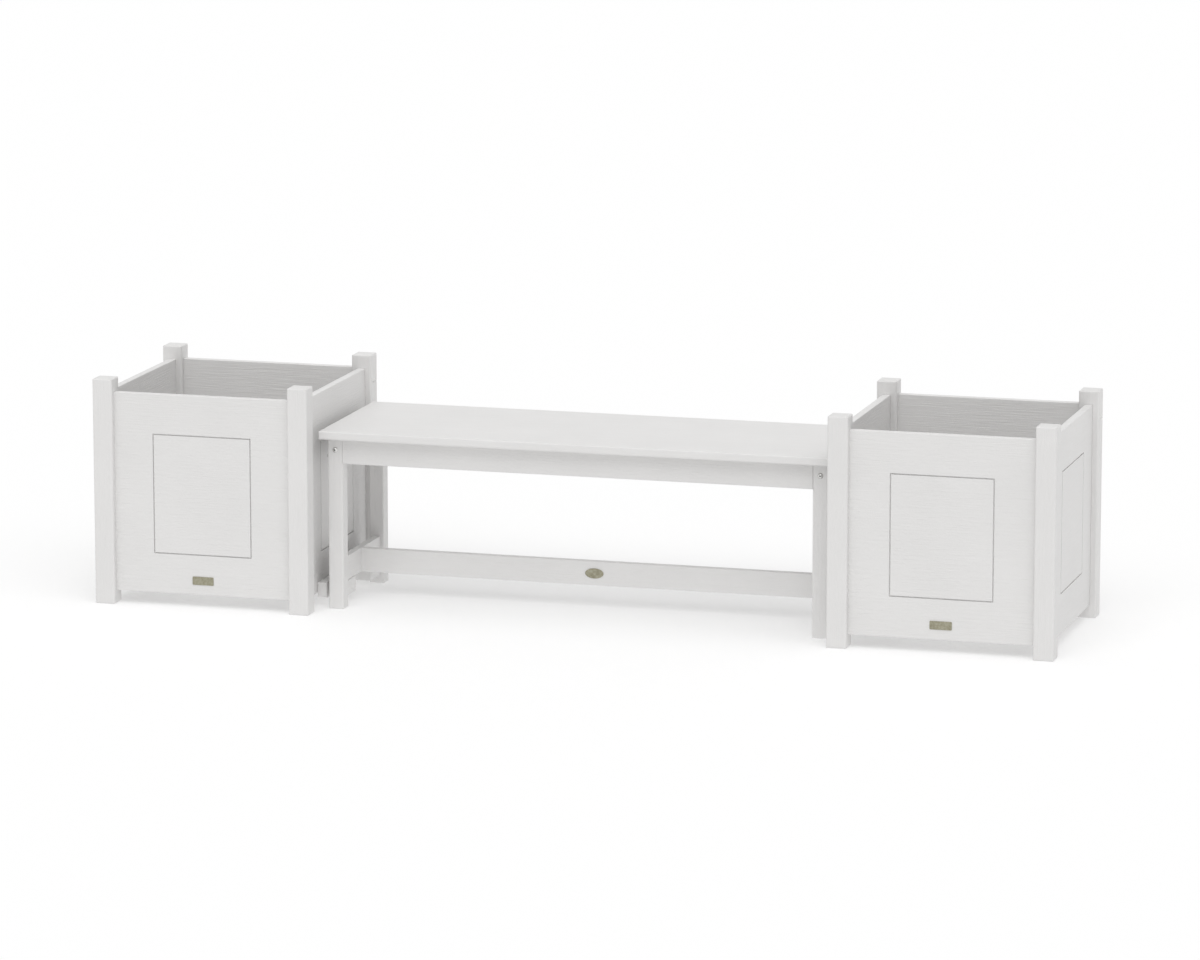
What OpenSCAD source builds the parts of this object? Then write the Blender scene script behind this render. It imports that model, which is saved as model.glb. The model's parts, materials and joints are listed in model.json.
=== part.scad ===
/* [Layout] */
// Clear distance between the facing posts of the two planters
bay_l = 1313.8; // [1150:0.1:1500]
// Gap between each end of the seat and the planter posts
seat_end_gap = 8.3; // [5:0.1:14]

/* [Planter posts and panels] */
// Outside width and depth of each square planter
planter_w = 558.8; // [510:0.1:640]
// Side of the square corner posts
post_s = 50.8; // [46:0.1:60]
// Height of the corner posts
post_h = 568; // [510:1:640]
// Radius of the eased edges of the posts
post_ease = 4; // [2:0.5:6]
// Thickness of the planter panels
panel_t = 19.05; // [16:0.05:22]
// Radius of the eased edges of the panels
panel_ease = 2; // [1:0.5:4]
// Height of the lower edge of the panels above the ground
panel_lift = 33; // [28:1:42]
// How far the posts stand above the panels
post_crown = 34; // [20:1:50]
// Depth of the stopped grooves in the posts that house the panels
housing_depth = 10; // [6:0.5:12]
// Clearance on each face of a panel in its post groove
housing_clear = 0.2; // [0.1:0.05:0.3]
// Distance of the lock screws below the top of the rear panel
lock_drop = 35; // [25:1:60]

/* [Routed line on the panels] */
// Distance of the routed line from the post beside it
line_side_inset = 102; // [80:1:125]
// Distance of the routed line from the top and bottom of the panel
line_end_inset = 101.1; // [80:0.1:125]
// Width of the routed line
line_w = 3.2; // [2.5:0.1:5]
// Depth of the routed line
line_depth = 4; // [2:0.5:6]

/* [Planter floor] */
// Width of the cleats that carry the floor, away from the panel
cleat_w = 25.4; // [20:0.1:30]
// Height of the cleats
cleat_h = 38.1; // [30:0.1:45]
// Height of the cleats above the lower edge of the panels
cleat_rise = 37; // [32:1:60]
// Gap between a cleat and the post at each end of it
cleat_end_gap = 1; // [0.5:0.1:3]
// Thickness of the floor slats
slat_t = 19.05; // [16:0.05:22]
// Drainage gap between the floor slats
slat_gap = 9; // [6:1:14]
// Gap between the end of a slat and the panel
slat_end_gap = 2; // [1:0.5:4]

/* [Bench seat] */
// Height of the top of the seat
seat_top = 453.4; // [420:0.1:480]
// Depth of the seat, front to back
seat_d = 433.2; // [400:0.1:460]
// Thickness of the seat board
seat_t = 21; // [18:0.5:25]
// Radius of the eased edges of the seat board
seat_ease = 4; // [2:0.5:6]
// How far the seat overhangs the legs at each end
end_overhang = 13; // [9:0.1:20]
// How far the seat overhangs the legs at the front and the back
side_overhang = 36.2; // [25:0.1:45]

/* [Bench frame] */
// Side of the square legs
leg_s = 38.1; // [34:0.1:45]
// Radius of the eased edges of the legs
leg_ease = 3; // [1:0.5:4]
// Thickness of the aprons, stretchers and cross rail
board_t = 19.05; // [16:0.05:22]
// Radius of the eased edges of these boards and of the cleats and slats
board_ease = 2; // [1:0.5:3]
// Height of the apron boards
apron_h = 65; // [58:1:80]
// Height of the lower edge of the stretchers above the ground
stretcher_rise = 61; // [58:0.5:72]
// Height of the stretcher boards
stretcher_h = 60.8; // [54:0.1:75]
// Side of the square battens that hold the seat to the aprons
batten_s = 22; // [18:1:26]
// Gap at the ends of the battens and around them in the cross rail
batten_gap = 1; // [0.5:0.5:2]
// Height of the cross rail under the middle of the seat
cross_rail_h = 45; // [38:1:55]
// Thickness of the stub tenons on the end stretchers
tenon_t = 12.7; // [8:0.1:14]
// Height of the stub tenons
tenon_h = 40; // [30:1:48]
// Length of the stub tenons
tenon_l = 12.7; // [8:0.1:16]
// Clearance round a stub tenon in its mortise
tenon_clear = 0.2; // [0.1:0.05:0.3]

/* [Connector blocks] */
// Height of the notched blocks that link the planters to the bench
connector_h = 38.1; // [34:0.1:42]
// Length of the wide part of a block, behind the leg
connector_body_l = 76.2; // [60:0.1:90]
// Length of the tongue that runs beside the leg
connector_tongue_l = 25.4; // [18:0.1:30]
// Width of the tongue
connector_tongue_w = 25.4; // [18:0.1:28]
// Gap between the wide part of a block and the leg
connector_leg_gap = 7; // [4:0.5:12]
// How far a block shows past the end stretcher above it
connector_lip = 2; // [1:0.5:5]
// Radius of the eased edges of the blocks
connector_ease = 2.5; // [1:0.5:4]

/* [Nameplates] */
// Width of the oblong plate on the front of each planter
plate_w = 54.5; // [45:0.5:70]
// Height of the oblong plate
plate_h = 20.5; // [16:0.5:28]
// Height of the middle of the oblong plate above the lower edge of its panel
plate_rise = 36; // [25:1:60]
// Width of the oval plate on the long stretcher
oval_w = 47; // [38:0.5:60]
// Height of the oval plate
oval_h = 25; // [20:0.5:32]
// Thickness of the plates
plate_t = 1.6; // [1.2:0.1:3]
// Width of the raised rim of the plates
rim_w = 1.2; // [0.8:0.1:2]
// Depth of the plain field inside the rim
field_depth = 0.5; // [0.3:0.1:0.8]
// Corner radius of the oblong plate
plate_corner = 2; // [1:0.5:4]

/* [Fasteners] */
// Diameter of the button heads of the leg bolts
bolt_head_d = 14.5; // [12:0.5:18]
// Height of the button heads of the leg bolts
bolt_head_h = 4.2; // [3:0.1:6]
// Diameter of the shanks of the leg bolts
bolt_d = 6.4; // [5:0.1:8]
// Length of the leg bolts under the head
bolt_l = 72; // [62:1:85]
// Distance of the upper leg bolts below the seat board
bolt_drop = 30.5; // [26:0.5:34]
// Distance between the heights of the crossing leg bolts
bolt_step = 17; // [14:1:20]
// Width across the flats of the bolt sockets
bolt_socket = 4; // [3:0.5:5]
// Diameter of the screw heads
screw_head_d = 9.5; // [8:0.5:11]
// Height of the screw heads
screw_head_h = 3; // [2:0.5:4]
// Diameter of the screw shanks
screw_d = 4.8; // [4:0.1:5.5]
// Width across the flats of the screw sockets
screw_socket = 3; // [2:0.5:4]
// How deep a long screw runs into the far piece
long_bite = 30; // [22:1:36]
// How deep a short screw runs into the far piece
short_bite = 13; // [10:0.5:14]
// Clearance round a shank in its hole
shank_clear = 0.1; // [0.05:0.05:0.3]

/* [Hidden] */

$fn = 48;

// How far a cut runs past the face it opens
cut_over = 1;

// Sides of the set, seen from the front, and of the planters
LEFT = -1;
RIGHT = 1;
FRONT = -1;
REAR = 1;
INNER = -1;
OUTER = 1;

WHITE = [0.87, 0.865, 0.86];
BRONZE = [0.55, 0.52, 0.42];
STEEL = [0.72, 0.72, 0.72];

// Planter
planter_x = bay_l / 2 + planter_w / 2;
post_off = planter_w / 2 - post_s / 2;
panel_h = post_h - panel_lift - post_crown;
panel_top = panel_lift + panel_h;
panel_mid = panel_lift + panel_h / 2;
panel_clear_w = planter_w - 2 * post_s;
panel_l = panel_clear_w + 2 * housing_depth;
panel_out = post_off + panel_t / 2;
panel_in = post_off - panel_t / 2;
line_span = panel_clear_w - 2 * line_side_inset;
line_rise = panel_h - 2 * line_end_inset;
lock_z = panel_top - lock_drop;
lock_l = post_s - housing_depth + long_bite;

// Planter floor
cleat_l = panel_clear_w - 2 * cleat_end_gap;
cleat_z = panel_lift + cleat_rise + cleat_h / 2;
cleat_screw_l = cleat_w + short_bite;
cleat_screw_shares = [-1 / 3, 0, 1 / 3];
floor_z = cleat_z + cleat_h / 2;
slat_count = 3;
slat_w = (panel_clear_w - (slat_count - 1) * slat_gap) / slat_count;
slat_l = 2 * (panel_in - slat_end_gap);

// Bench
seat_l = bay_l - 2 * seat_end_gap;
seat_under = seat_top - seat_t;
frame_l = seat_l - 2 * end_overhang;
frame_d = seat_d - 2 * side_overhang;
leg_x = frame_l / 2 - leg_s / 2;
leg_y = frame_d / 2 - leg_s / 2;
leg_gap_l = frame_l - 2 * leg_s;
leg_gap_d = frame_d - 2 * leg_s;
apron_y = frame_d / 2 - board_t / 2;
apron_z = seat_under - apron_h / 2;
end_bolt_z = seat_under - bolt_drop;
side_bolt_z = end_bolt_z - bolt_step;
stretcher_z = stretcher_rise + stretcher_h / 2;
long_stretcher_l = 2 * leg_x - board_t;
stretcher_screw_l = board_t + long_bite;
stretcher_screw_shares = [-1 / 4, 1 / 4];
batten_l = leg_gap_l - 2 * batten_gap;
batten_y = frame_d / 2 - board_t - batten_s / 2;
batten_z = seat_under - batten_s / 2;
seat_screw_l = batten_s + short_bite;
seat_screw_shares = [-3 / 8, -1 / 8, 1 / 8, 3 / 8];

// Height of the floor of a socket, as a share of the head's height
socket_floor_share = 1 / 3;

// Connector blocks, in the place beside the right-hand planter
connector_x0 = leg_x - board_t / 2 - connector_lip;
connector_x1 = planter_x - panel_out;
connector_w = connector_x1 - connector_x0;
connector_l = connector_body_l + connector_tongue_l;
connector_z = stretcher_rise - connector_h / 2;
connector_body_y = leg_gap_d / 2 - connector_leg_gap - connector_body_l / 2;
connector_tip_y = connector_body_y + connector_body_l / 2 + connector_tongue_l;
connector_screw_z = (panel_lift + stretcher_rise) / 2;
connector_screw_l = panel_t + long_bite;
connector_screw_shares = [-1 / 4, 1 / 4];
link_screw_l = connector_h + long_bite;

// Rectangle with round corners, about its middle
module rounded_rect(w, h, r) {
    square([w - 2 * r, h], center = true);
    square([w, h - 2 * r], center = true);
    for (x = [-1, 1], y = [-1, 1])
        translate([x * (w / 2 - r), y * (h / 2 - r)])
            circle(r);
}

// Board along X with eased long edges and square ends
module board_x(l, d, h, r) {
    rotate([90, 0, 90])
        linear_extrude(l, center = true)
            rounded_rect(d, h, r);
}

// Board along Y with eased long edges and square ends
module board_y(l, w, h, r) {
    rotate([90, 0, 0])
        linear_extrude(l, center = true)
            rounded_rect(w, h, r);
}

// Block with every edge eased, about its middle
module eased_block(l, d, h, r) {
    intersection() {
        linear_extrude(h, center = true)
            rounded_rect(l, d, r);
        board_x(l, d, h, r);
        board_y(d, l, h, r);
    }
}

// Button-head screw along Z: the head stands above zero and the shank runs down
module button_screw(head_d, head_h, d, l, socket) {
    cap_r = (head_d * head_d / 4 + head_h * head_h) / (2 * head_h);
    difference() {
        intersection() {
            translate([0, 0, head_h - cap_r])
                sphere(cap_r);
            cylinder(h = head_h, d = head_d);
        }
        translate([0, 0, head_h * socket_floor_share])
            cylinder(h = head_h, d = socket / cos(30), $fn = 6);
    }
    translate([0, 0, -l])
        cylinder(h = l, d = d);
}

module screw(l) {
    color(STEEL)
        button_screw(screw_head_d, screw_head_h, screw_d, l, screw_socket);
}

module bolt() {
    color(STEEL)
        button_screw(bolt_head_d, bolt_head_h, bolt_d, bolt_l, bolt_socket);
}

// Hole for a shank along Z, from the far end of the shank up past the head's seat
module shank_hole(d, l) {
    translate([0, 0, -l])
        cylinder(h = l + cut_over, d = d + 2 * shank_clear);
}

// Turns a fastener so that its head points along +X or -X
module head_to_x(side) {
    rotate([0, side * 90, 0])
        children();
}

// Turns a fastener so that its head points along +Y or -Y
module head_to_y(side) {
    rotate([-side * 90, 0, 0])
        children();
}

// Puts a piece of the right-hand planter in place, or its mirror image on the left
module planter_at(side) {
    if (side == LEFT)
        mirror([1, 0, 0])
            translate([planter_x, 0, 0])
                children();
    else
        translate([planter_x, 0, 0])
            children();
}

// Puts a piece of the right-hand end of the bench in place, or its mirror image on the left
module bench_end(side) {
    if (side == LEFT)
        mirror([1, 0, 0])
            children();
    else
        children();
}

// Puts a piece of the rear of the set in place, or its mirror image at the front
module bench_row(row) {
    if (row == FRONT)
        mirror([0, 1, 0])
            children();
    else
        children();
}

// Places of the lock screws, at the outside of the rear posts
module lock_places() {
    for (side = [INNER, OUTER])
        translate([side * planter_w / 2, post_off, lock_z])
            head_to_x(side)
                children();
}

// Places of the cleat screws, on the inside of the side panels
module cleat_screw_places() {
    for (side = [INNER, OUTER], share = cleat_screw_shares)
        translate([side * (panel_in - cleat_w), share * cleat_l, cleat_z])
            head_to_x(-side)
                children();
}

// Places of the screws from inside the planter into the connector blocks
module connector_screw_places() {
    for (row = [FRONT, REAR], share = connector_screw_shares)
        translate([-panel_in, row * (connector_body_y + share * connector_body_l), connector_screw_z])
            head_to_x(OUTER)
                children();
}

// Corner post: square, eased all round, with two stopped grooves for the panels
module corner_post(across, row) {
    housing_w = panel_t + 2 * housing_clear;
    housing_h = panel_h + housing_clear;
    face = post_off - post_s / 2;
    color(WHITE)
        difference() {
            translate([across * post_off, row * post_off, post_h / 2])
                eased_block(post_s, post_s, post_h, post_ease);
            translate([across * face, row * post_off, panel_lift + housing_h / 2])
                cube([2 * housing_depth, housing_w, housing_h], center = true);
            translate([across * post_off, row * face, panel_lift + housing_h / 2])
                cube([housing_w, 2 * housing_depth, housing_h], center = true);
            if (row == REAR)
                lock_places()
                    shank_hole(screw_d, lock_l);
        }
}

// Routed line round a rectangle, cut by a straight bit that leaves its outer corners round
module routed_line(w, h) {
    linear_extrude(line_depth + cut_over)
        difference() {
            rounded_rect(w + line_w, h + line_w, line_w / 2);
            square([w - line_w, h - line_w], center = true);
        }
}

// Planter panel as it stands at the front, with its routed line outwards
module panel_board() {
    difference() {
        translate([0, -post_off, panel_mid])
            board_x(panel_l, panel_t, panel_h, panel_ease);
        translate([0, line_depth - panel_out, panel_mid])
            rotate([90, 0, 0])
                routed_line(line_span, line_rise);
    }
}

module front_panel() {
    color(WHITE)
        panel_board();
}

module rear_panel() {
    color(WHITE)
        difference() {
            rotate([0, 0, 180])
                panel_board();
            lock_places()
                shank_hole(screw_d, lock_l);
        }
}

module outer_panel() {
    color(WHITE)
        difference() {
            rotate([0, 0, 90])
                panel_board();
            cleat_screw_places()
                shank_hole(screw_d, cleat_screw_l);
        }
}

module inner_panel() {
    color(WHITE)
        difference() {
            rotate([0, 0, -90])
                panel_board();
            cleat_screw_places()
                shank_hole(screw_d, cleat_screw_l);
            connector_screw_places()
                shank_hole(screw_d, connector_screw_l);
        }
}

module floor_cleat(across) {
    color(WHITE)
        difference() {
            translate([across * (panel_in - cleat_w / 2), 0, cleat_z])
                board_y(cleat_l, cleat_w, cleat_h, board_ease);
            cleat_screw_places()
                shank_hole(screw_d, cleat_screw_l);
        }
}

module floor_slat(place) {
    color(WHITE)
        translate([0, place * (slat_w + slat_gap), floor_z + slat_t / 2])
            board_x(slat_l, slat_w, slat_t, board_ease);
}

module lock_screws() {
    lock_places()
        screw(lock_l);
}

module cleat_screws() {
    cleat_screw_places()
        screw(cleat_screw_l);
}

module connector_screws() {
    connector_screw_places()
        screw(connector_screw_l);
}

// Oblong plate with a raised rim round a bare field
module nameplate() {
    color(BRONZE)
        translate([0, -panel_out, panel_lift + plate_rise])
            rotate([90, 0, 0])
                difference() {
                    linear_extrude(plate_t)
                        rounded_rect(plate_w, plate_h, plate_corner);
                    translate([0, 0, plate_t - field_depth])
                        linear_extrude(field_depth + cut_over)
                            rounded_rect(plate_w - 2 * rim_w, plate_h - 2 * rim_w, plate_corner / 2);
                }
}

// Notched block under the end stretcher: a wide part behind the leg and a tongue beside it
module connector(row) {
    mid_x = (connector_x0 + connector_x1) / 2;
    mid_y = connector_tip_y - connector_l / 2;
    tongue_x = connector_x1 - connector_tongue_w / 2;
    color(WHITE)
        bench_row(row)
            difference() {
                intersection() {
                    translate([0, 0, connector_z])
                        linear_extrude(connector_h, center = true) {
                            translate([mid_x, connector_body_y])
                                rounded_rect(connector_w, connector_body_l, connector_ease);
                            translate([tongue_x, mid_y])
                                rounded_rect(connector_tongue_w, connector_l, connector_ease);
                        }
                    translate([mid_x, mid_y, connector_z])
                        board_x(connector_w, connector_l, connector_h, connector_ease);
                    translate([mid_x, mid_y, connector_z])
                        board_y(connector_l, connector_w, connector_h, connector_ease);
                }
                translate([planter_x, 0, 0])
                    connector_screw_places()
                        shank_hole(screw_d, connector_screw_l);
                link_screw_place()
                    shank_hole(screw_d, link_screw_l);
            }
}

// Place of the screw up through the rear right block into the end stretcher
module link_screw_place() {
    translate([leg_x, connector_body_y, stretcher_rise - connector_h])
        rotate([180, 0, 0])
            children();
}

module link_screws() {
    for (side = [LEFT, RIGHT], row = [FRONT, REAR])
        bench_end(side)
            bench_row(row)
                link_screw_place()
                    screw(link_screw_l);
}

// Places of the two bolts through the rear right leg, into the end apron and the long apron
module leg_bolt_places() {
    translate([leg_x, frame_d / 2, end_bolt_z])
        head_to_y(REAR)
            children();
    translate([frame_l / 2, apron_y, side_bolt_z])
        head_to_x(RIGHT)
            children();
}

module leg_bolts() {
    for (side = [LEFT, RIGHT], row = [FRONT, REAR])
        bench_end(side)
            bench_row(row)
                leg_bolt_places()
                    bolt();
}

// Leg with a flat top, eased foot, bolt holes and the mortise of the end stretcher
module leg(side, row) {
    color(WHITE)
        bench_end(side)
            bench_row(row)
                difference() {
                    translate([leg_x, leg_y, 0])
                        intersection() {
                            linear_extrude(seat_under)
                                rounded_rect(leg_s, leg_s, leg_ease);
                            translate([0, 0, seat_under])
                                board_x(leg_s, leg_s, 2 * seat_under, leg_ease);
                            translate([0, 0, seat_under])
                                board_y(leg_s, leg_s, 2 * seat_under, leg_ease);
                        }
                    leg_bolt_places()
                        shank_hole(bolt_d, bolt_l);
                    translate([leg_x, leg_gap_d / 2, stretcher_z])
                        cube(
                            [
                                tenon_t + 2 * tenon_clear,
                                2 * tenon_l,
                                tenon_h + 2 * tenon_clear
                            ],
                            center = true
                        );
                }
}

module long_apron(row) {
    color(WHITE)
        bench_row(row)
            difference() {
                translate([0, apron_y, apron_z])
                    board_x(leg_gap_l, board_t, apron_h, board_ease);
                for (side = [LEFT, RIGHT])
                    bench_end(side)
                        leg_bolt_places()
                            shank_hole(bolt_d, bolt_l);
            }
}

module end_apron(side) {
    color(WHITE)
        bench_end(side)
            difference() {
                translate([leg_x, 0, apron_z])
                    board_y(leg_gap_d, board_t, apron_h, board_ease);
                for (row = [FRONT, REAR])
                    bench_row(row)
                        leg_bolt_places()
                            shank_hole(bolt_d, bolt_l);
            }
}

// End stretcher with a stub tenon at each end
module end_stretcher(side) {
    color(WHITE)
        bench_end(side)
            difference() {
                translate([leg_x, 0, stretcher_z]) {
                    board_y(leg_gap_d, board_t, stretcher_h, board_ease);
                    cube([tenon_t, leg_gap_d + 2 * tenon_l, tenon_h], center = true);
                }
                stretcher_screw_places()
                    shank_hole(screw_d, stretcher_screw_l);
                for (row = [FRONT, REAR])
                    bench_row(row)
                        link_screw_place()
                            shank_hole(screw_d, link_screw_l);
            }
}

// Places of the screws through the right end stretcher into the long one
module stretcher_screw_places() {
    for (share = stretcher_screw_shares)
        translate([leg_x + board_t / 2, 0, stretcher_z + share * stretcher_h])
            head_to_x(RIGHT)
                children();
}

module stretcher_screws() {
    for (side = [LEFT, RIGHT])
        bench_end(side)
            stretcher_screw_places()
                screw(stretcher_screw_l);
}

module long_stretcher() {
    color(WHITE)
        difference() {
            translate([0, 0, stretcher_z])
                board_x(long_stretcher_l, board_t, stretcher_h, board_ease);
            for (side = [LEFT, RIGHT])
                bench_end(side)
                    stretcher_screw_places()
                        shank_hole(screw_d, stretcher_screw_l);
        }
}

// Outline of an ellipse of the given width and height
module oval(w, h) {
    polygon([for (i = [0:$fn - 1]) [w / 2 * cos(i * 360 / $fn), h / 2 * sin(i * 360 / $fn)]]);
}

// Oval plate with a raised rim round a bare field
module oval_plate() {
    color(BRONZE)
        translate([0, -board_t / 2, stretcher_z])
            rotate([90, 0, 0])
                difference() {
                    linear_extrude(plate_t)
                        oval(oval_w, oval_h);
                    translate([0, 0, plate_t - field_depth])
                        linear_extrude(field_depth + cut_over)
                            oval(oval_w - 2 * rim_w, oval_h - 2 * rim_w);
                }
}

// Places of the screws up through the rear batten into the seat
module seat_screw_places() {
    for (share = seat_screw_shares)
        translate([share * batten_l, batten_y, batten_z - batten_s / 2])
            rotate([180, 0, 0])
                children();
}

module seat_screws() {
    for (row = [FRONT, REAR])
        bench_row(row)
            seat_screw_places()
                screw(seat_screw_l);
}

module seat_batten(row) {
    color(WHITE)
        bench_row(row)
            difference() {
                translate([0, batten_y, batten_z])
                    board_x(batten_l, batten_s, batten_s, board_ease);
                seat_screw_places()
                    shank_hole(screw_d, seat_screw_l);
            }
}

// Rail across the middle of the seat, notched round the battens
module seat_cross_rail() {
    color(WHITE)
        difference() {
            translate([0, 0, seat_under - cross_rail_h / 2])
                board_y(frame_d - 2 * board_t, board_t, cross_rail_h, board_ease);
            for (row = [FRONT, REAR])
                translate([0, row * (batten_y + batten_gap / 2), batten_z])
                    cube(
                        [
                            2 * board_t,
                            batten_s + 3 * batten_gap,
                            batten_s + 2 * batten_gap
                        ],
                        center = true
                    );
        }
}

module seat_board() {
    color(WHITE)
        difference() {
            translate([0, 0, seat_top - seat_t / 2])
                eased_block(seat_l, seat_d, seat_t, seat_ease);
            for (row = [FRONT, REAR])
                bench_row(row)
                    seat_screw_places()
                        shank_hole(screw_d, seat_screw_l);
        }
}

planter_at(LEFT) corner_post(OUTER, FRONT);  // left_planter_front_outer_post
planter_at(LEFT) corner_post(INNER, FRONT);  // left_planter_front_inner_post
planter_at(LEFT) corner_post(OUTER, REAR);  // left_planter_rear_outer_post
planter_at(LEFT) corner_post(INNER, REAR);  // left_planter_rear_inner_post
planter_at(LEFT) front_panel();  // left_planter_front_panel
planter_at(LEFT) rear_panel();  // left_planter_rear_panel
planter_at(LEFT) outer_panel();  // left_planter_outer_panel
planter_at(LEFT) inner_panel();  // left_planter_inner_panel
planter_at(LEFT) floor_cleat(OUTER);  // left_planter_outer_cleat
planter_at(LEFT) floor_cleat(INNER);  // left_planter_inner_cleat
planter_at(LEFT) floor_slat(-1);  // left_planter_front_slat
planter_at(LEFT) floor_slat(0);  // left_planter_middle_slat
planter_at(LEFT) floor_slat(1);  // left_planter_rear_slat
planter_at(LEFT) nameplate();  // left_planter_nameplate
planter_at(LEFT) lock_screws();  // left_planter_lock_screws
planter_at(LEFT) cleat_screws();  // left_planter_cleat_screws
bench_end(LEFT) connector(FRONT);  // left_planter_front_connector
bench_end(LEFT) connector(REAR);  // left_planter_rear_connector
planter_at(LEFT) connector_screws();  // left_planter_connector_screws
planter_at(RIGHT) corner_post(OUTER, FRONT);  // right_planter_front_outer_post
planter_at(RIGHT) corner_post(INNER, FRONT);  // right_planter_front_inner_post
planter_at(RIGHT) corner_post(OUTER, REAR);  // right_planter_rear_outer_post
planter_at(RIGHT) corner_post(INNER, REAR);  // right_planter_rear_inner_post
planter_at(RIGHT) front_panel();  // right_planter_front_panel
planter_at(RIGHT) rear_panel();  // right_planter_rear_panel
planter_at(RIGHT) outer_panel();  // right_planter_outer_panel
planter_at(RIGHT) inner_panel();  // right_planter_inner_panel
planter_at(RIGHT) floor_cleat(OUTER);  // right_planter_outer_cleat
planter_at(RIGHT) floor_cleat(INNER);  // right_planter_inner_cleat
planter_at(RIGHT) floor_slat(-1);  // right_planter_front_slat
planter_at(RIGHT) floor_slat(0);  // right_planter_middle_slat
planter_at(RIGHT) floor_slat(1);  // right_planter_rear_slat
planter_at(RIGHT) nameplate();  // right_planter_nameplate
planter_at(RIGHT) lock_screws();  // right_planter_lock_screws
planter_at(RIGHT) cleat_screws();  // right_planter_cleat_screws
bench_end(RIGHT) connector(FRONT);  // right_planter_front_connector
bench_end(RIGHT) connector(REAR);  // right_planter_rear_connector
planter_at(RIGHT) connector_screws();  // right_planter_connector_screws
seat_board();
long_apron(FRONT);  // front_apron
long_apron(REAR);  // rear_apron
end_apron(LEFT);  // left_end_apron
end_apron(RIGHT);  // right_end_apron
seat_batten(FRONT);  // front_seat_batten
seat_batten(REAR);  // rear_seat_batten
seat_cross_rail();
leg(LEFT, FRONT);  // front_left_leg
leg(RIGHT, FRONT);  // front_right_leg
leg(LEFT, REAR);  // rear_left_leg
leg(RIGHT, REAR);  // rear_right_leg
end_stretcher(LEFT);  // left_end_stretcher
end_stretcher(RIGHT);  // right_end_stretcher
long_stretcher();
oval_plate();
leg_bolts();
stretcher_screws();
seat_screws();
link_screws();
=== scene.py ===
"""A white bench between two square planters, made of plastic lumber, with bronze plates and steel screws."""

import json
import math

import bpy
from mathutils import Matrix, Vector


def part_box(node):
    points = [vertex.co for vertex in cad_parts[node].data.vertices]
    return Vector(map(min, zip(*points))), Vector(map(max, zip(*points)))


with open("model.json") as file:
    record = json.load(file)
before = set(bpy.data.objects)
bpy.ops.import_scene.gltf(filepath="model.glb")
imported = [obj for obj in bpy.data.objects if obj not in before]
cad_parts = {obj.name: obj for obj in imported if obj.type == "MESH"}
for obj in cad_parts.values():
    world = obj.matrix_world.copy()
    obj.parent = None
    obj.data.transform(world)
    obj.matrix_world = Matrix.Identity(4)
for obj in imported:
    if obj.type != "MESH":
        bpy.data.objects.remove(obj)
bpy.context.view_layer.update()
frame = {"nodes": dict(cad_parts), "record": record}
bpy.ops.object.select_all(action="DESELECT")
scene = bpy.context.scene

# Frame units are metres
MM = 0.001

# Where the photographer stood, in metres, and the lens, in millimetres
CAMERA_PLACE = (4.0459, -14.0773, 3.1620)
CAMERA_TILT = math.radians(79.039)
CAMERA_TURN = math.radians(15.991)
LENS_MM = 181.15
SENSOR_MM = 36.0

# Light of the white studio: an even dome and three broad lamps
DOME_STRENGTH = 0.613
LAMP_SPREAD = math.radians(45)
LAMP_TILT = math.radians(40)
FRONT_LAMP_STRENGTH = 0.67
SIDE_LAMP_STRENGTH = 0.45
SIDE_LAMP_TURN = math.radians(50)
TOP_LAMP_STRENGTH = 0.35

# The white table: its light from below, the share of light that passes through it, and its own glow
TABLE_SIZE = 80.0
TABLE_LIGHT_STRENGTH = 0.37
TABLE_CLEAR_SHARE = 0.75
TABLE_GLOW_SHARE = 0.28

# Colours, as sRGB hex values
LUMBER_LIGHT = "e1e0df"
LUMBER_DARK = "dddcdb"
BRONZE_HIGH = "aba896"
BRONZE_LOW = "908c78"
STEEL_LIGHT = "dededc"
STEEL_DARK = "d2d2d0"
# Painted shade for the enclosed hollows of the screws, such as the socket
STEEL_PAINTED_SHADE = "3e3e3b"
BACKDROP_WHITE = "ffffff"

# Polyethylene, which the lumber is made of
POLYETHYLENE_IOR = 1.54

# Board directions
ALONG_X = 0
ALONG_Y = 1
ALONG_Z = 2


def srgb(code):
    """The linear colour of an sRGB hex value."""
    levels = [int(code[i:i + 2], 16) / 255 for i in (0, 2, 4)]
    linear = [v / 12.92 if v <= 0.04045 else ((v + 0.055) / 1.055) ** 2.4 for v in levels]
    return (*linear, 1.0)


def add_node(tree, kind, inputs=None, **settings):
    """Adds a node with its settings, its values and its incoming links."""
    node = tree.nodes.new(kind)
    for name, value in settings.items():
        setattr(node, name, value)
    for socket, value in (inputs or {}).items():
        if isinstance(value, bpy.types.NodeSocket):
            tree.links.new(value, node.inputs[socket])
        else:
            node.inputs[socket].default_value = value
    return node


def new_material(name):
    """An empty node material and its tree."""
    material = bpy.data.materials.new(name)
    material.use_nodes = True
    material.node_tree.nodes.clear()
    return material, material.node_tree


def two_colours(tree, factor, low, high):
    """A smooth change from one colour to another, each a hex value or a node's output."""
    low, high = [srgb(colour) if isinstance(colour, str) else colour for colour in (low, high)]
    mix = add_node(tree, "ShaderNodeMix", {"Factor": factor, 6: low, 7: high}, data_type="RGBA")
    return mix.outputs[2]


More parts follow.
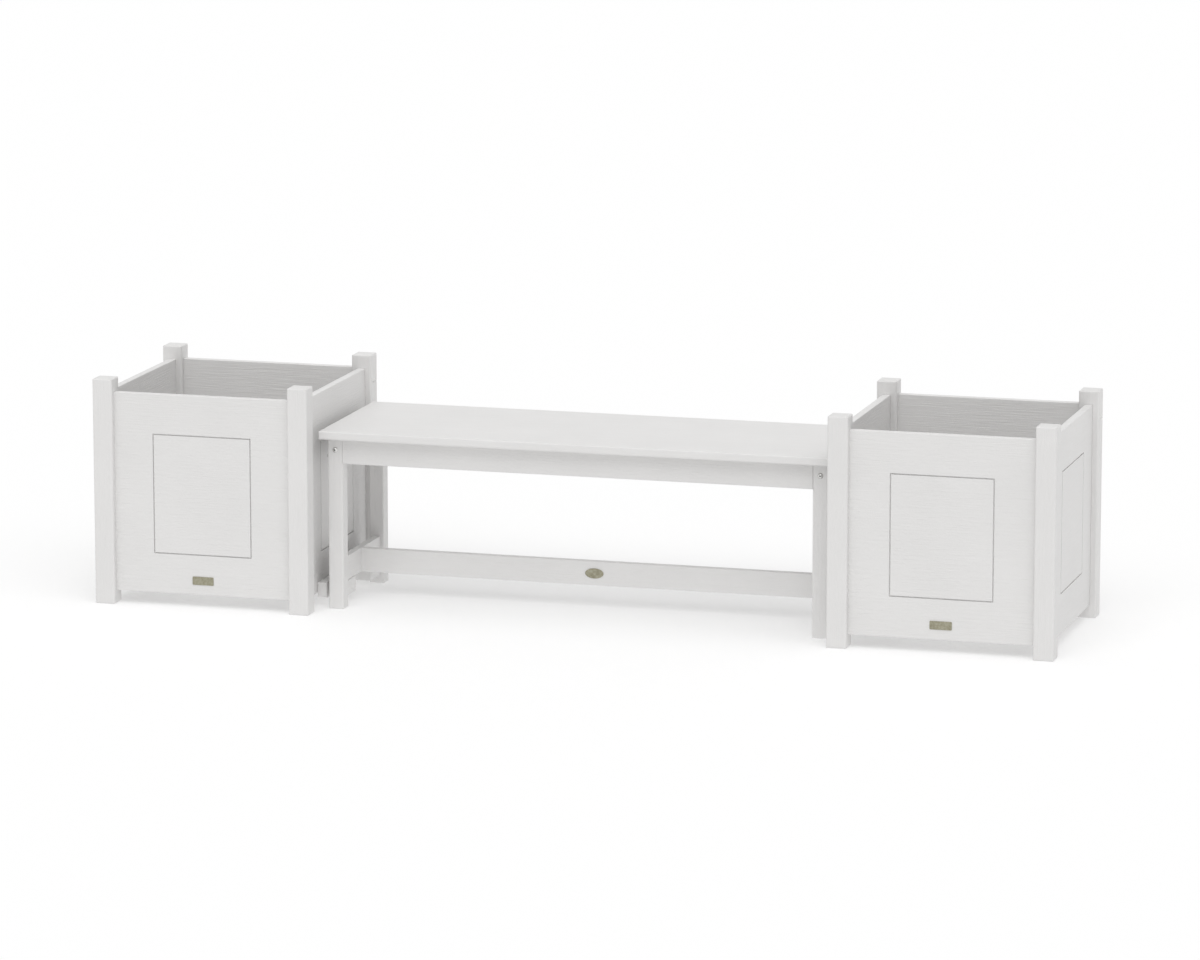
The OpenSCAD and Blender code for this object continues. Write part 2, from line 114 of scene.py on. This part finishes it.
def plastic_lumber(name, grain):
    """Recycled plastic lumber, drawn through a die: it is satin, with faint lines along the board.

    The real lines are finer than 1 mm. They are drawn 3.5 mm apart so that they show.
    """
    line_gap = 3.5 * MM
    line_length = 80 * MM
    cloud_size = 160 * MM
    pit_size = 1.6 * MM
    material, tree = new_material(name)
    place = add_node(tree, "ShaderNodeTexCoord").outputs["Object"]
    stretch = [1 / line_gap] * 3
    stretch[grain] = 1 / line_length
    along = add_node(tree, "ShaderNodeMapping", {"Vector": place, "Scale": stretch})
    lines = add_node(
        tree,
        "ShaderNodeTexNoise",
        {"Vector": along.outputs["Vector"], "Scale": 1.0, "Detail": 3.0, "Roughness": 0.6},
    )
    clouds = add_node(
        tree,
        "ShaderNodeTexNoise",
        {"Vector": place, "Scale": 1 / cloud_size, "Detail": 2.0, "Roughness": 0.5},
    )
    pits = add_node(
        tree,
        "ShaderNodeTexNoise",
        {"Vector": place, "Scale": 1 / pit_size, "Detail": 1.0, "Roughness": 0.5},
    )
    tone = add_node(
        tree,
        "ShaderNodeMath",
        {0: lines.outputs["Fac"], 1: 0.4, 2: clouds.outputs["Fac"]},
        operation="MULTIPLY_ADD",
    )
    shade = add_node(
        tree,
        "ShaderNodeMapRange",
        {"Value": tone.outputs["Value"], "From Min": 0.4, "From Max": 1.0},
    )
    gloss = add_node(
        tree,
        "ShaderNodeMapRange",
        {"Value": lines.outputs["Fac"], "From Min": 0.3, "From Max": 0.7, "To Min": 0.52, "To Max": 0.44},
    )
    relief = add_node(
        tree,
        "ShaderNodeMath",
        {0: pits.outputs["Fac"], 1: 0.35, 2: lines.outputs["Fac"]},
        operation="MULTIPLY_ADD",
    )
    bump = add_node(
        tree,
        "ShaderNodeBump",
        {"Strength": 1.0, "Distance": 1.1 * MM, "Height": relief.outputs["Value"]},
    )
    skin = add_node(
        tree,
        "ShaderNodeBsdfPrincipled",
        {
            "Base Color": two_colours(tree, shade.outputs["Result"], LUMBER_DARK, LUMBER_LIGHT),
            "Roughness": gloss.outputs["Result"],
            "IOR": POLYETHYLENE_IOR,
            "Normal": bump.outputs["Normal"],
        },
    )
    add_node(tree, "ShaderNodeOutputMaterial", {"Surface": skin.outputs["BSDF"]})
    return material


def cast_bronze(name):
    """Cast bronze with an olive patina, in dark, dull patches and lighter ones that handling has rubbed."""
    sand_grain = 0.9 * MM
    patina_size = 7 * MM
    material, tree = new_material(name)
    place = add_node(tree, "ShaderNodeTexCoord").outputs["Object"]
    sand = add_node(
        tree,
        "ShaderNodeTexNoise",
        {"Vector": place, "Scale": 1 / sand_grain, "Detail": 2.0, "Roughness": 0.5},
    )
    patina = add_node(
        tree,
        "ShaderNodeTexNoise",
        {"Vector": place, "Scale": 1 / patina_size, "Detail": 4.0, "Roughness": 0.6},
    )
    worn = add_node(
        tree,
        "ShaderNodeMapRange",
        {"Value": patina.outputs["Fac"], "From Min": 0.3, "From Max": 0.7},
    )
    dull = add_node(
        tree,
        "ShaderNodeMapRange",
        {"Value": patina.outputs["Fac"], "From Min": 0.3, "From Max": 0.7, "To Min": 0.6, "To Max": 0.42},
    )
    bump = add_node(
        tree,
        "ShaderNodeBump",
        {"Strength": 0.35, "Distance": 0.15 * MM, "Height": sand.outputs["Fac"]},
    )
    metal = add_node(
        tree,
        "ShaderNodeBsdfPrincipled",
        {
            "Base Color": two_colours(tree, worn.outputs["Result"], BRONZE_LOW, BRONZE_HIGH),
            "Metallic": 1.0,
            "Roughness": dull.outputs["Result"],
            "Normal": bump.outputs["Normal"],
        },
    )
    add_node(tree, "ShaderNodeOutputMaterial", {"Surface": metal.outputs["BSDF"]})
    return material


def stainless_steel(name):
    """Turned stainless steel: fine tool marks blur its highlights, and painted shade darkens the socket and
    other enclosed spots.
    """
    turning_gap = 0.6 * MM
    painted_shade_reach = 4 * MM
    material, tree = new_material(name)
    place = add_node(tree, "ShaderNodeTexCoord").outputs["Object"]
    turning = add_node(
        tree,
        "ShaderNodeTexNoise",
        {"Vector": place, "Scale": 1 / turning_gap, "Detail": 2.0, "Roughness": 0.6},
    )
    bright = add_node(
        tree,
        "ShaderNodeMapRange",
        {"Value": turning.outputs["Fac"], "From Min": 0.3, "From Max": 0.7},
    )
    blur = add_node(
        tree,
        "ShaderNodeMapRange",
        {"Value": turning.outputs["Fac"], "From Min": 0.3, "From Max": 0.7, "To Min": 0.3, "To Max": 0.2},
    )
    bump = add_node(
        tree,
        "ShaderNodeBump",
        {"Strength": 0.2, "Distance": 0.02 * MM, "Height": turning.outputs["Fac"]},
    )
    # Painted shade: the steel turns dark where ambient occlusion finds it enclosed, as in the socket
    openness = add_node(tree, "ShaderNodeAmbientOcclusion", {"Distance": painted_shade_reach}, samples=8)
    unshaded_share = add_node(
        tree,
        "ShaderNodeMapRange",
        {"Value": openness.outputs["AO"], "From Min": 0.3, "From Max": 0.85},
    )
    bare_steel = two_colours(tree, bright.outputs["Result"], STEEL_DARK, STEEL_LIGHT)
    surface = two_colours(tree, unshaded_share.outputs["Result"], STEEL_PAINTED_SHADE, bare_steel)
    metal = add_node(
        tree,
        "ShaderNodeBsdfPrincipled",
        {
            "Base Color": surface,
            "Metallic": 1.0,
            "Roughness": blur.outputs["Result"],
            "Normal": bump.outputs["Normal"],
        },
    )
    add_node(tree, "ShaderNodeOutputMaterial", {"Surface": metal.outputs["BSDF"]})
    return material


def give(node, material):
    """Puts the material in every slot of a CAD node."""
    slots = frame["nodes"][node].data.materials
    slots.clear()
    slots.append(material)


def board_direction(node):
    """A panel's lines run level, and any other board's run along its longest way."""
    if node.endswith("_panel"):
        return ALONG_X if "front" in node or "rear" in node else ALONG_Y
    low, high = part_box(node)
    size = high - low
    return max((ALONG_X, ALONG_Y, ALONG_Z), key=lambda axis: size[axis])


def dress_nodes():
    """Gives every piece the finish of its slot, with the grain along each board."""
    lumber = {
        ALONG_X: plastic_lumber("white plastic lumber, drawn lengthwise", ALONG_X),
        ALONG_Y: plastic_lumber("white plastic lumber, drawn crosswise", ALONG_Y),
        ALONG_Z: plastic_lumber("white plastic lumber, drawn upright", ALONG_Z),
    }
    metals = {
        "bronze_plate": cast_bronze("cast bronze, olive patina"),
        "steel_fastener": stainless_steel("stainless steel, turned"),
    }
    for part in frame["record"]["subparts"]:
        node = part["node"]
        finish = metals.get(part["material_slot"])
        give(node, finish or lumber[board_direction(node)])


def seen_white(tree):
    """1 for camera, mirror and glass rays, which see the studio as plain white, and 0 for its light."""
    path = add_node(tree, "ShaderNodeLightPath")
    gloss = add_node(
        tree,
        "ShaderNodeMath",
        {0: path.outputs["Is Camera Ray"], 1: path.outputs["Is Glossy Ray"]},
        operation="MAXIMUM",
    )
    glass = add_node(
        tree,
        "ShaderNodeMath",
        {0: gloss.outputs["Value"], 1: path.outputs["Is Transmission Ray"]},
        operation="MAXIMUM",
    )
    return glass.outputs["Value"]


def build_dome():
    """Even white light from all round."""
    scene.world = bpy.data.worlds.new("white studio")
    scene.world.use_nodes = True
    tree = scene.world.node_tree
    tree.nodes.clear()
    white = srgb(BACKDROP_WHITE)
    light = add_node(tree, "ShaderNodeBackground", {"Color": white, "Strength": DOME_STRENGTH})
    backdrop = add_node(tree, "ShaderNodeBackground", {"Color": white, "Strength": 1.0})
    both = add_node(
        tree,
        "ShaderNodeMixShader",
        {0: seen_white(tree), 1: light.outputs["Background"], 2: backdrop.outputs["Background"]},
    )
    add_node(tree, "ShaderNodeOutputWorld", {"Surface": both.outputs["Shader"]})


def build_lamp(name, strength, tilt, turn):
    """A broad, weak lamp, tilted from straight above and turned from the front."""
    light = bpy.data.lights.new(name, "SUN")
    light.energy = strength
    light.angle = LAMP_SPREAD
    lamp = bpy.data.objects.new(name, light)
    lamp.rotation_euler = (tilt, 0, turn)
    scene.collection.objects.link(lamp)


def build_table():
    """A table of white acrylic, lit from below, that keeps the shadow of the set."""
    bpy.ops.mesh.primitive_plane_add(size=TABLE_SIZE, location=(0, 0, 0))
    table = bpy.context.object
    table.name = "studio_table"
    material, tree = new_material("white acrylic table")
    white = srgb(BACKDROP_WHITE)
    sheet = add_node(tree, "ShaderNodeBsdfDiffuse", {"Color": white})
    clear = add_node(tree, "ShaderNodeBsdfTransparent", {"Color": white})
    below = add_node(tree, "ShaderNodeEmission", {"Color": white, "Strength": TABLE_LIGHT_STRENGTH})
    through = add_node(tree, "ShaderNodeAddShader", {0: clear.outputs["BSDF"], 1: below.outputs["Emission"]})
    glow = add_node(tree, "ShaderNodeEmission", {"Color": white, "Strength": 1.0})
    light = add_node(
        tree,
        "ShaderNodeMixShader",
        {0: TABLE_CLEAR_SHARE, 1: sheet.outputs["BSDF"], 2: through.outputs["Shader"]},
    )
    seen = add_node(
        tree,
        "ShaderNodeMixShader",
        {0: TABLE_GLOW_SHARE, 1: sheet.outputs["BSDF"], 2: glow.outputs["Emission"]},
    )
    both = add_node(
        tree,
        "ShaderNodeMixShader",
        {0: seen_white(tree), 1: light.outputs["Shader"], 2: seen.outputs["Shader"]},
    )
    add_node(tree, "ShaderNodeOutputMaterial", {"Surface": both.outputs["Shader"]})
    table.data.materials.append(material)


def build_camera():
    """The camera, as it stood for the photograph."""
    camera = bpy.data.cameras.new("camera")
    camera.lens = LENS_MM
    camera.sensor_width = SENSOR_MM
    camera.sensor_fit = "HORIZONTAL"
    camera.clip_end = 2 * TABLE_SIZE
    stand = bpy.data.objects.new("camera", camera)
    stand.location = CAMERA_PLACE
    stand.rotation_euler = (CAMERA_TILT, 0, CAMERA_TURN)
    scene.collection.objects.link(stand)
    scene.camera = stand


dress_nodes()
build_dome()
build_lamp("front lamp", FRONT_LAMP_STRENGTH, LAMP_TILT, 0)
build_lamp("side lamp", SIDE_LAMP_STRENGTH, LAMP_TILT, SIDE_LAMP_TURN)
build_lamp("top lamp", TOP_LAMP_STRENGTH, 0, 0)
build_table()
build_camera()
scene.view_settings.view_transform = "Standard"
